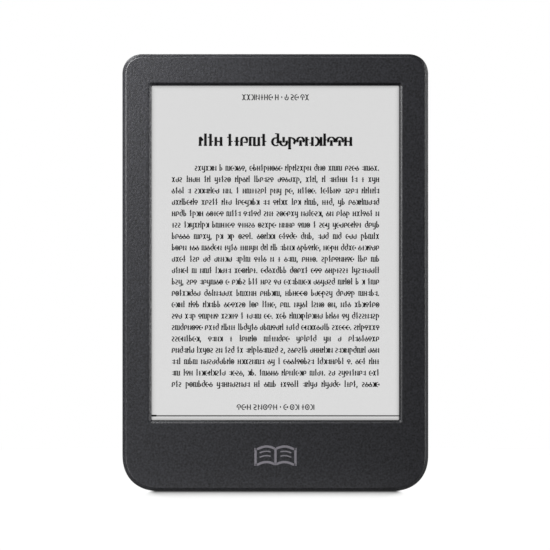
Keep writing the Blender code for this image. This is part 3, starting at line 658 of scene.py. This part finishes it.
def build_bezel():
    rings = [(outline(RIM_INSET + 0.30), FRONT)]
    rings += [(outline(inset), FRONT + depth) for inset, depth in rim()]
    rings += [
        (outline(0.05), SEAM_Y),
        (outline(LIP_INSET), SEAM_Y),
        (outline(LIP_INSET), PLATE_BACK),
        (opening(0.0), PLATE_BACK),
        (opening(0.0), PLATE_BACK - 0.12),
    ]
    # growth of the opening, y: a small foot radius, a straight slope, then a soft shoulder
    slope = [(0.02, -3.77), (0.10, -3.94), (0.16, -3.99), (1.00, -4.50)]
    slope += bezier(slope[-1], (1.164, FRONT), (SLOPE_W + 0.20, FRONT))
    rings += [(opening(grow), y) for grow, y in slope]
    rings.append((opening(SLOPE_W + 0.6), FRONT))
    bezel = piece("bezel_moulding", loft(rings, cyclic=True), shell)
    enter(bezel, replaced="front_bezel")


# ---------------------------------------------------------------- back cover
def slot_loop(half_w, half_h, z):
    """A round-ended slot across the foot, at height z."""
    centre = half_w - half_h
    points = arc(centre, 0.0, half_h, half_h, -90, 90, steps=20)
    points += arc(-centre, 0.0, half_h, half_h, 90, 270, steps=20)
    return [(x, USB_Y + y, z) for x, y in points]


def sharpen_button_hole(mesh):
    """Makes the hole's edge on the flat back crisp, so that the face stays evenly shaded."""
    def near(p):
        return math.hypot(p.x - BUTTON_X * MM, p.z - BUTTON_Z * MM) < 5.6 * MM

    flat = {v.index for v in mesh.vertices if abs(v.co.y - BACK * MM) < 2e-6}
    for edge in mesh.edges:
        if all(i in flat and near(mesh.vertices[i].co) for i in edge.vertices):
            edge.use_edge_sharp = True


def build_cover():
    inner_steps, outer_steps = 12, 24
    rings = []
    for k in range(inner_steps + 1):
        a = math.radians(90 * k / inner_steps)
        inset = WALL + INNER_ROLL_W * (1 - math.sin(a))
        rings.append((outline(inset), ROLL_Y0 + (FLOOR_Y - ROLL_Y0) * math.cos(a)))
    rings += [
        (outline(WALL), -1.90),
        (outline(2.2), -2.15),
        (outline(2.2), -3.30),
        (outline(1.62), -3.30),
        (outline(1.62), SEAM_Y + SEAM_GAP),
        (outline(0.06), SEAM_Y + SEAM_GAP),
        (outline(0.0), SEAM_Y + SEAM_GAP + 0.06),
    ]
    for k in range(outer_steps + 1):
        a = math.radians(90 * k / outer_steps)
        inset = ROLL_W * (1 - math.cos(a))
        rings.append((outline(inset), ROLL_Y0 + (BACK - ROLL_Y0) * math.sin(a)))
    rings.append((outline(ROLL_W + 0.5), BACK))
    back = piece("cover_moulding", loft(rings), cover)

    # radius, y
    button_hole = [
        (4.60, FLOOR_Y - 0.5), (4.60, BACK - 0.26), (4.68, BACK - 0.16),
        (4.92, BACK - 0.02), (5.3, BACK + 0.2),
    ]
    # half width, half height, z
    usb_hole = [
        (5.2, 2.3, -0.6), (4.98, 2.08, 0.04), (4.84, 1.94, 0.16),
        (4.76, 1.86, 0.34), (4.75, 1.85, 3.4),
    ]
    carve(back, [
        turned(BUTTON_X, BUTTON_Z, button_hole, BUTTON_STEPS),
        skin([slot_loop(*station) for station in usb_hole]),
    ])
    sharpen_button_hole(back.data)
    enter(back, replaced="back_cover")


# ---------------------------------------------------------------- power button and light pipe
def build_button():
    edge_r, edge_steps = 0.30, 8
    dish, dish_r, dish_steps = 0.20, 0.25, 12
    edge_y, rim_r = BACK - 0.80, BUTTON_R - edge_r
    profile = [(5.40, 2.78), (5.40, 3.30), (BUTTON_R, 3.34), (BUTTON_R, edge_y)]
    for k in range(1, edge_steps + 1):
        a = math.radians(90 * k / edge_steps)
        profile.append((BUTTON_R - edge_r * (1 - math.cos(a)), edge_y + edge_r * math.sin(a)))
    for k in range(1, dish_steps + 1):
        t = k / dish_steps
        y = edge_y + edge_r - dish * math.sin(t * math.pi / 2)
        profile.append((rim_r * (1 - t) + dish_r * t, y))
    cap = turned(BUTTON_X, BUTTON_Z, profile, BUTTON_STEPS)
    button = piece("button_cap", cap, button_plastic)
    pipe_hole = [(0.64, 2.4), (0.64, BACK - 0.66), (0.80, BACK - 0.40)]
    carve(button, [turned(BUTTON_X, PIPE_Z, pipe_hole, SMALL_STEPS)])
    peg = [(1.35, 2.42), (1.35, 3.0)]
    carve(button, [turned(BUTTON_X, BUTTON_Z, peg, SMALL_STEPS)], "UNION")
    enter(button, "power_button", replaced="power_button")


def build_light_pipe():
    # radius, y
    profile = [
        (0.60, 2.58), (0.60, BACK - 0.72), (0.56, BACK - 0.66),
        (0.34, BACK - 0.62), (0.05, BACK - 0.61),
    ]
    lens = turned(BUTTON_X, PIPE_Z, profile, SMALL_STEPS)
    pipe = piece("light_pipe_lens", lens, plain("pipe_lens"))
    enter(pipe, "power_button", replaced="button_light_pipe")


# ---------------------------------------------------------------- USB-C receptacle
def build_usb_shell():
    half_w, half_h = 4.47, 1.60
    # inset, z: up the inside is first, then round the rolled mouth and up the outside
    stations = [
        (0.28, 7.25), (0.28, 0.50), (0.24, 0.40), (0.14, 0.35),
        (0.04, 0.40), (0.0, 0.52), (0.0, 7.75),
    ]
    loops = [slot_loop(half_w - inset, half_h - inset, z) for inset, z in stations]
    usb = piece("usb_c_socket_shell", skin(loops), materials["stamped_steel"])
    ears = []
    for side in (-1, 1):
        x0, x1 = sorted((side * 3.75, side * 6.3))
        plate = [(x1, 4.6), (x1, 6.6), (x0, 6.6), (x0, 4.6)]
        ears.append(loft([(plate, 0.98), (plate, 1.28)]))
    carve(usb, ears, "UNION")
    enter(usb, replaced="usb_c_shell")


def build_usb_contacts(row, side):
    """Twelve flat contacts on one side of the middle plane; four of them reach further out."""
    count, pitch, half_w = 12, 0.5, 0.12
    long_ones, long_z, short_z, inner_z = (0, 3, 8, 11), 1.55, 2.0, 6.3
    box_faces = (
        (0, 1, 3, 2), (4, 6, 7, 5), (0, 4, 5, 1), (2, 3, 7, 6), (0, 2, 6, 4), (1, 5, 7, 3),
    )
    y_pair = (USB_Y + side * 0.352, USB_Y + side * 0.40)
    bm = bmesh.new()
    for k in range(count):
        x = pitch * k - pitch * (count - 1) / 2
        z_pair = (long_z if k in long_ones else short_z, inner_z)
        verts = [
            bm.verts.new((x + dx, y, z)) for dx in (-half_w, half_w) for y in y_pair for z in z_pair
        ]
        for face in box_faces:
            bm.faces.new([verts[i] for i in face])
    enter(piece(f"usb_c_contacts_{row}", bm, gold))


# ---------------------------------------------------------------- ribbons for ink and print
def ribbon(bm, path, depth, thick, thin, over=0.0):
    """A closed flat ribbon along an x-z path between the two depths: thick where it runs
    upright, thin where it runs level, and longer by over at each end."""
    path = [Vector(p) for p in path]
    last = len(path) - 1
    left, right = [], []
    for k, point in enumerate(path):
        along = (path[min(k + 1, last)] - path[max(k - 1, 0)]).normalized()
        half = (thin + (thick - thin) * abs(along.y)) / 2
        across = Vector((-along.y, along.x)) * half
        if k == 0:
            point = point - along * over
        elif k == last:
            point = point + along * over
        left.append(point + across)
        right.append(point - across)
    ring = left + right[::-1]
    front, rear = ([bm.verts.new((v.x, y, v.y)) for v in ring] for y in depth)
    count = len(ring)
    for k in range(count):
        j = (k + 1) % count
        bm.faces.new((front[k], front[j], rear[j], rear[k]))
    for k in range(last):
        a, b = count - 1 - k, count - 2 - k
        bm.faces.new((front[k], front[k + 1], front[b], front[a]))
        bm.faces.new((rear[k + 1], rear[k], rear[a], rear[b]))


# ---------------------------------------------------------------- the page: made-up marks
# each mark is (advance, strokes), with the small marks' height as 1
MARKS = [
    (0.66, [arc(0.06, 0.5, 0.34, 0.5, -90, 90), [(0.62, 0.0), (0.62, 1.0)]]),
    (0.70, [
        arc(0.36, 0.5, 0.33, 0.5, 70, 290), arc(0.36, 0.5, 0.33, 0.5, -20, 20),
        [(0.20, 0.5), (0.69, 0.5)],
    ]),
    (0.74, [[(0.12, 0.0), (0.12, 1.0)], [(0.12, 0.55), (0.62, 0.45)], [(0.62, 0.0), (0.62, 1.0)]]),
    (0.68, [arc(0.34, 0.62, 0.31, 0.38, -30, 210), [(0.34, 0.0), (0.34, 0.62)]]),
    (0.68, [arc(0.34, 0.38, 0.31, 0.38, 150, 390), [(0.34, 1.0), (0.34, 0.40)]]),
    (0.64, [[(0.04, 0.24), (0.50, 0.24)], [(0.04, 0.78), (0.50, 0.78)], [(0.54, 0.0), (0.54, 1.0)]]),
    (0.58, [arc(0.10, 0.74, 0.38, 0.26, -90, 100), arc(0.46, 0.24, 0.38, 0.25, 90, 280)]),
    (0.72, [
        [(0.10, 0.0), (0.10, 0.70)], arc(0.36, 0.68, 0.26, 0.32, 180, 0),
        [(0.62, 0.70), (0.62, 0.40), (0.30, 0.40)],
    ]),
    (0.72, [
        [(0.62, 1.0), (0.62, 0.30)], arc(0.36, 0.32, 0.26, 0.32, 0, -180),
        [(0.10, 0.30), (0.10, 0.60), (0.40, 0.60)],
    ]),
    (1.02, [
        [(0.10, 0.0), (0.10, 1.0)], [(0.10, 1.0), (0.50, 0.96)], [(0.50, 1.0), (0.50, 0.0)],
        [(0.50, 0.0), (0.92, 0.04)], [(0.92, 0.0), (0.92, 1.0)],
    ]),
    (0.78, [
        [(0.12, 0.0), (0.12, 1.0)], [(0.12, 0.70), (0.38, 0.70)],
        [(0.68, 0.0), (0.68, 1.0)], [(0.68, 0.30), (0.42, 0.30)],
    ]),
    (0.72, [arc(0.04, 0.5, 0.29, 0.5, -90, 90), arc(0.66, 0.5, 0.29, 0.5, 90, 270)]),
    (0.70, [arc(0.35, 0.5, 0.31, 0.5, 0, 360, 14), [(0.35, 0.30), (0.35, 0.70)]]),
    (0.52, [[(0.28, 0.0), (0.28, 1.0)], [(0.06, 0.52), (0.50, 0.52)]]),
]
TALL = [
    (0.72, [
        arc(0.42, 0.46, 0.34, 0.46, 50, 310), [(0.62, 0.30), (0.62, 1.40)],
        [(0.36, 1.40), (0.62, 1.40)],
    ]),
    (0.66, [[(0.12, 0.0), (0.12, 1.40)], arc(0.12, 0.36, 0.42, 0.36, -90, 60)]),
    (0.54, [[(0.26, 0.0), (0.26, 1.36)], [(0.02, 0.98), (0.26, 0.98)], [(0.26, 0.50), (0.50, 0.50)]]),
    (0.74, [[(0.12, 0.0), (0.12, 1.0)], [(0.12, 1.0), (0.36, 0.62)], [(0.62, 0.0), (0.62, 1.40)]]),
    (0.40, [[(0.20, 0.0), (0.20, 1.40)], [(0.20, 0.70), (0.36, 0.70)]]),
]
DEEP = [
    (0.72, [[(0.12, -0.40), (0.12, 1.0)], arc(0.16, 0.52, 0.46, 0.42, 80, -40)]),
    (0.70, [
        [(0.60, 1.0), (0.60, -0.24)], arc(0.36, -0.20, 0.24, 0.20, 0, -140),
        [(0.12, 0.24), (0.12, 1.0)], [(0.12, 0.20), (0.56, 0.34)],
    ]),
]
RUNNING = MARKS[:5] + MARKS[6:9] + MARKS[10:]
DOT = (0.26, [[(0.12, -0.04), (0.12, 0.18)]])
COMMA = (0.28, [[(0.16, 0.16), (0.08, -0.26)]])
RAISED = (0.26, [[(0.13, 0.40), (0.13, 0.66)]])
WORD_LENGTHS = [1, 2, 2, 3, 3, 3, 4, 4, 4, 5, 5, 6, 6, 7, 8, 9]


def stroke(bm, points, left, base, size, wide, thick, thin, foot):
    """One stroke of a mark; foot is the reach of the short bars at upright ends."""
    placed = [(x * size * wide + left, z * size + base) for x, z in points]
    (xa, za), (xb, zb) = points[0], points[-1]
    if foot and len(points) == 2 and abs(xa - xb) < 0.01 and abs(za - zb) > 0.6:
        for (x, z), (_, other_z) in (placed, placed[::-1]):
            if z < other_z:
                reach_left, reach_right, inward = 1.0, 1.0, 1
            else:
                reach_left, reach_right, inward = 0.55, 0.15, -1
            bar_z = z + inward * thin * 0.5
            bar = [(x - foot * reach_left, bar_z), (x + foot * reach_right, bar_z)]
            ribbon(bm, bar, INK_DEPTH, thin, thin)
    ribbon(bm, placed, INK_DEPTH, thick, thin, over=thin * 0.25)


def word(rng, count, tall_first=False):
    marks = []
    for k in range(count):
        draw = rng.random()
        if (k == 0 and tall_first) or draw < 0.22:
            marks.append(rng.choice(TALL))
        elif draw < 0.29:
            marks.append(rng.choice(DEEP))
        else:
            marks.append(rng.choice(MARKS))
    return marks


def running_words(rng, counts):
    """Words of marks all of one height; a count of 0 stands for a raised dot."""
    return [[rng.choice(RUNNING) for _ in range(n)] if n else [RAISED] for n in counts]


def width_of(marks, gap):
    return sum(advance for advance, _ in marks) + gap * (len(marks) - 1)


def set_line(bm, words, x0, x1, base, size, thick, thin, gap, space=None, foot=0.0):
    """Sets words from x0 to x1: with even spaces that fill the line, or with a fixed space
    and the marks widened. The gap between marks is a share of their size."""
    total = sum(width_of(marks, gap) for marks in words) * size
    spaces = max(len(words) - 1, 1)
    if space is None:
        wide, space = 1.0, (x1 - x0 - total) / spaces
    else:
        wide = (x1 - x0 - space * spaces) / total
    x = x0
    for marks in words:
        for advance, strokes in marks:
            for points in strokes:
                stroke(bm, points, x, base, size, wide, thick, thin, foot)
            x += (advance + gap) * size * wide
        x += space - gap * size * wide


def build_body_marks(rng):
    left, right = -37.9, 38.0
    first_base, pitch, lines, indent = 117.38, 4.168, 20, 8.4
    size, gap, least_space = 1.64, 0.13, 0.95
    bm = bmesh.new()
    for k in range(lines):
        x0 = left + (indent if k == 0 else 0.0)
        words, used = [], 0.0
        while True:
            count = rng.choice(WORD_LENGTHS)
            marks = word(rng, count, tall_first=rng.random() < 0.10)
            if rng.random() < 0.13:
                marks.append(rng.choice([DOT, COMMA]))
            width = width_of(marks, gap) * size
            if used + width + len(words) * least_space > right - x0:
                break
            words.append(marks)
            used += width
        set_line(
            bm, words, x0, right, base=first_base - pitch * k, size=size,
            thick=0.42, thin=0.20, gap=gap, foot=0.30,
        )
    return piece("page_body_marks", bm, ink)


def build_heading_marks(rng):
    bm = bmesh.new()
    set_line(
        bm, [word(rng, count, True) for count in (3, 5, 10)], -28.0, 28.1, base=126.45,
        size=3.15, thick=0.98, thin=0.38, gap=0.10, space=1.75, foot=0.62,
    )
    return piece("page_heading_marks", bm, ink)


def build_running_marks(rng):
    # left, right, base, size, word lengths
    lines = [
        (-12.2, 12.3, 143.22, 1.95, (7, 1, 0, 1, 2, 2)),
        (-14.1, 14.2, 29.80, 1.85, (3, 5, 0, 1, 2, 3)),
    ]
    bm = bmesh.new()
    for x0, x1, base, size, counts in lines:
        set_line(
            bm, running_words(rng, counts), x0, x1, base, size,
            thick=0.36, thin=0.28, gap=0.14, space=0.85,
        )
    return piece("page_running_marks", bm, ink)


def slab(name, mat, x0, x1, z0, z1, depth):
    points = [(x1, z0), (x1, z1), (x0, z1), (x0, z0)]
    return piece(name, loft([(points, y) for y in depth]), mat)


def build_page():
    rng = random.Random(41)
    bar_x, bar_z = 45.6, 27.55
    done_depth = (INK_DEPTH[0] - 0.006, INK_DEPTH[0] - 0.001)
    pieces = [
        build_body_marks(rng),
        build_heading_marks(rng),
        build_running_marks(rng),
        slab("page_progress_track", ink_soft, -bar_x, bar_x, bar_z - 0.22, bar_z + 0.22, INK_DEPTH),
        slab("page_progress_done", ink, -bar_x, -43.55, bar_z - 0.29, bar_z + 0.34 + 0.05,
             done_depth),
    ]
    for obj in pieces:
        enter(obj)
    return pieces


# ---------------------------------------------------------------- open-book sign on the chin
def build_sign():
    cx, cz = 0.05, 12.8
    page_w, page_h, line_w, text_w = 7.3, 5.7, 0.84, 0.46
    gutter, rise, droop, steps = 0.30, 0.85, 0.2, 14
    bm = bmesh.new()

    def line(points, width=line_w):
        ribbon(bm, points, SIGN_DEPTH, width, width)

    for side in (-1, 1):
        top = []
        for i in range(steps + 1):
            t = i / steps
            z = cz + page_h * 0.5 + rise * math.sin(math.pi * min(t * 1.12, 1.0)) - droop * t
            top.append((cx + side * (gutter + (page_w - gutter) * t), z))
        low = [(x, z - page_h) for x, z in top]
        line(top)
        line(low)
        (x, top_z), (_, low_z) = top[-1], low[-1]
        line([(x, top_z + line_w / 2), (x, low_z - line_w / 2)])
        for drop in (1.75, 3.35):
            line([(x, z - drop) for x, z in top[3:12]], text_w)
    line([(cx, cz + page_h * 0.5 + 0.2), (cx, cz - page_h * 0.5 - 0.35)])
    enter(piece("chin_book_sign", bm, pad_ink))


# ---------------------------------------------------------------- stage
def floor_material():
    """A pale floor that the camera sees with a soft contact shadow painted round the foot.
    In front the shadow is long and keeps its width; behind it is short and narrows."""
    m = Nodes("studio_floor")
    foot_x, foot_y = 0.0437, 0.0046  # half sizes of the footprint
    side_blur = 0.0029
    # pairs are (behind, in front)
    reach, narrowing, widening = (0.042, 0.070), (0.40, 0.0), (0.70, 0.08)
    # share of the reach, brightness
    fade = [
        (0.0, 0.05), (0.047, 0.15), (0.153, 0.42), (0.257, 0.60), (0.363, 0.71),
        (0.469, 0.815), (0.571, 0.895), (0.72, 0.945), (0.88, 0.98), (1.0, 1.0),
    ]
    tone = m.noise(3.0, detail=2.0, rough=0.5)
    seen = m.new("LightPath").outputs["Is Camera Ray"]
    pale = m.mix(tone, (0.805, 0.805, 0.803, 1), (0.812, 0.812, 0.810, 1))
    at = m.add("SeparateXYZ", Vector=m.space)
    x, y = at.outputs["X"], at.outputs["Y"]
    ahead = m.less(y, 0.0)

    def by_side(pair):
        return m.remap(ahead, (0.0, 1.0), pair)

    away_y = m.math("MAXIMUM", m.minus(m.math("ABSOLUTE", y), foot_y), 0.0)
    bend = m.times(away_y, away_y, ahead)
    half = m.minus(foot_x, m.plus(m.times(away_y, by_side(narrowing)), m.times(bend, 5.0)))
    away_x = m.math("MAXIMUM", m.minus(m.math("ABSOLUTE", x), half), 0.0)
    deep = m.ramp(m.math("DIVIDE", away_y, by_side(reach)), fade)
    blur = m.plus(m.times(away_y, by_side(widening)), m.times(bend, 6.0))
    side = m.ramp(m.math("DIVIDE", away_x, m.plus(blur, side_blur)), [(0.0, 0.0), (1.0, 1.0)])
    side.node.color_ramp.interpolation = "EASE"
    shade = m.mix(side, deep, grey(1.0))
    shaded = m.add("VectorMath", pale, shade)
    shaded.operation = "MULTIPLY"
    # to anything but the camera the floor is dimmer, with a weaker copy of the painted shadow
    bounce = m.mix(shade, grey(FLOOR_BOUNCE * 0.6), grey(FLOOR_BOUNCE))
    m.principled(
        Base_Color=m.mix(seen, bounce, shaded.outputs[0]), Roughness=0.9, Specular_IOR_Level=0.05
    )
    return m.mat


def build_floor():
    steps, z = 96, -0.02
    bm = bmesh.new()
    for k in range(steps):
        a = math.tau * k / steps
        bm.verts.new((STAGE_R * math.cos(a), STAGE_R * math.sin(a), z))
    bm.faces.new(bm.verts)
    floor = piece("floor", bm, floor_material())
    return floor


def build_world():
    """White to the camera, and a faint even fill for everything else."""
    world = bpy.data.worlds.new("studio")
    scene.world = world
    world.use_nodes = True
    tree = world.node_tree
    tree.nodes.clear()
    out = tree.nodes.new("ShaderNodeOutputWorld")
    mix = tree.nodes.new("ShaderNodeMixShader")
    path = tree.nodes.new("ShaderNodeLightPath")
    tree.links.new(path.outputs["Is Camera Ray"], mix.inputs[0])
    # mix input, colour, strength: the fill, then what the camera sees
    for i, colour, strength in ((1, (0.96, 0.98, 1.0, 1), 0.012), (2, (1, 1, 1, 1), 1.0)):
        background = tree.nodes.new("ShaderNodeBackground")
        background.inputs[0].default_value = colour
        background.inputs[1].default_value = strength
        tree.links.new(background.outputs[0], mix.inputs[i])
    tree.links.new(mix.outputs[0], out.inputs[0])


# ---------------------------------------------------------------- lights, in metres and watts
MIDDLE = (0, 0, 0.08)
LAMPS = [
    # name, azimuth (left is negative), elevation, distance, size, power, target
    ("near_left_high", -48, 42, 0.25, (0.10, 0.10), 0.84, MIDDLE),
    ("near_left_mid", -44, 13, 0.25, (0.10, 0.10), 0.35, MIDDLE),
    ("near_left_side", -75, 20, 0.22, (0.08, 0.12), 0.22, MIDDLE),
    ("near_left_low", -48, -10, 0.15, (0.08, 0.08), 0.105, (-0.040, 0, 0.006)),
    ("far_right_strip", 80, 5, 0.60, (0.12, 0.40), 2.60, MIDDLE),
    ("overhead_strip", 0, 73, 0.50, (0.40, 0.10), 0.68, MIDDLE),
    ("front_soft", -10, 12, 1.00, (0.60, 0.60), 0.17, MIDDLE),
    ("chin_front", 0, -25, 0.03, (0.10, 0.012), 0.0056, (-0.006, 0, 0.002)),
    ("back_left", -150, 35, 0.60, (0.35, 0.35), 2.9, MIDDLE),
    ("back_right", 140, 15, 0.70, (0.35, 0.35), 2.3, MIDDLE),
]
PAGE_LAMP = ("page_front", 4, 14, 1.30, (0.70, 0.70), 2.15, MIDDLE)


def place_light(light, place, target, receivers, blockers):
    obj = bpy.data.objects.new(light.name, light)
    scene.collection.objects.link(obj)
    obj.location = place
    obj.rotation_euler = (Vector(target) - Vector(place)).to_track_quat("-Z", "Y").to_euler()
    obj.light_linking.receiver_collection = receivers
    obj.light_linking.blocker_collection = blockers
    return obj


def soft_box(lamp, receivers, blockers):
    name, azimuth, elevation, distance, size, power, target = lamp
    light = bpy.data.lights.new(name, "AREA")
    light.shape = "RECTANGLE"
    light.size, light.size_y = size
    light.energy = power
    a, e = math.radians(azimuth), math.radians(elevation)
    toward = Vector((math.sin(a) * math.cos(e), -math.cos(a) * math.cos(e), math.sin(e)))
    place = Vector(target) + toward * distance
    place_light(light, place, target, receivers, blockers).visible_camera = False


def floor_sun(only_floor):
    """A wide sun for the floor alone, which keeps it white up to its painted shadow."""
    distance, elevation = 2, math.radians(86.0)
    light = bpy.data.lights.new("floor_sun", "SUN")
    light.energy, light.angle = 4.05, math.radians(12.0)
    place = (0, math.cos(elevation) * distance, math.sin(elevation) * distance)
    place_light(light, place, (0, 0, 0), only_floor, only_floor)


def build_lights(floor, page_pieces):
    """The page, the rest of the object and the floor are each lit by their own lights."""
    only_floor = bpy.data.collections.new("floor_light_receivers")
    only_floor.objects.link(floor)
    not_floor = bpy.data.collections.new("object_light_receivers")
    only_page = bpy.data.collections.new("page_light_receivers")
    casters = bpy.data.collections.new("object_shadow_casters")
    paper = nodes["epaper_film"]
    page_names = {obj.name for obj in (*page_pieces, paper)}
    for obj in list(scene.objects):
        if obj.type == "MESH" and obj is not floor:
            casters.objects.link(obj)
            (only_page if obj.name in page_names else not_floor).objects.link(obj)
    # the glowing paper itself lights only the page
    paper.light_linking.receiver_collection = only_page
    for lamp in LAMPS:
        soft_box(lamp, not_floor, casters)
    soft_box(PAGE_LAMP, only_page, casters)
    floor_sun(only_floor)


def build_camera():
    distance = 1.6
    frame_w = 201.17045 * MM  # width of the view at the reader's face
    centre_x, centre_z = -0.12844 * MM, 79.11849 * MM
    camera_data = bpy.data.cameras.new("camera")
    camera = bpy.data.objects.new("camera", camera_data)
    scene.collection.objects.link(camera)
    camera_data.sensor_width = 36.0
    camera_data.lens = 36.0 * (distance + FRONT * MM) / frame_w
    camera.location = (centre_x, -distance, centre_z)
    camera.rotation_euler = (math.radians(90), 0, 0)
    camera_data.clip_start, camera_data.clip_end = 0.05, 50
    scene.camera = camera
    scene.view_settings.view_transform = "Standard"
    scene.view_settings.look = "None"
    scene.view_settings.exposure = 0.0
    scene.view_settings.gamma = 1.0


# ---------------------------------------------------------------- build
build_bezel()
build_cover()
build_button()
build_light_pipe()
build_usb_shell()
build_usb_contacts("front", -1)
build_usb_contacts("rear", 1)
page = build_page()
build_sign()
stage_floor = build_floor()
build_world()
build_lights(stage_floor, page)
build_camera()
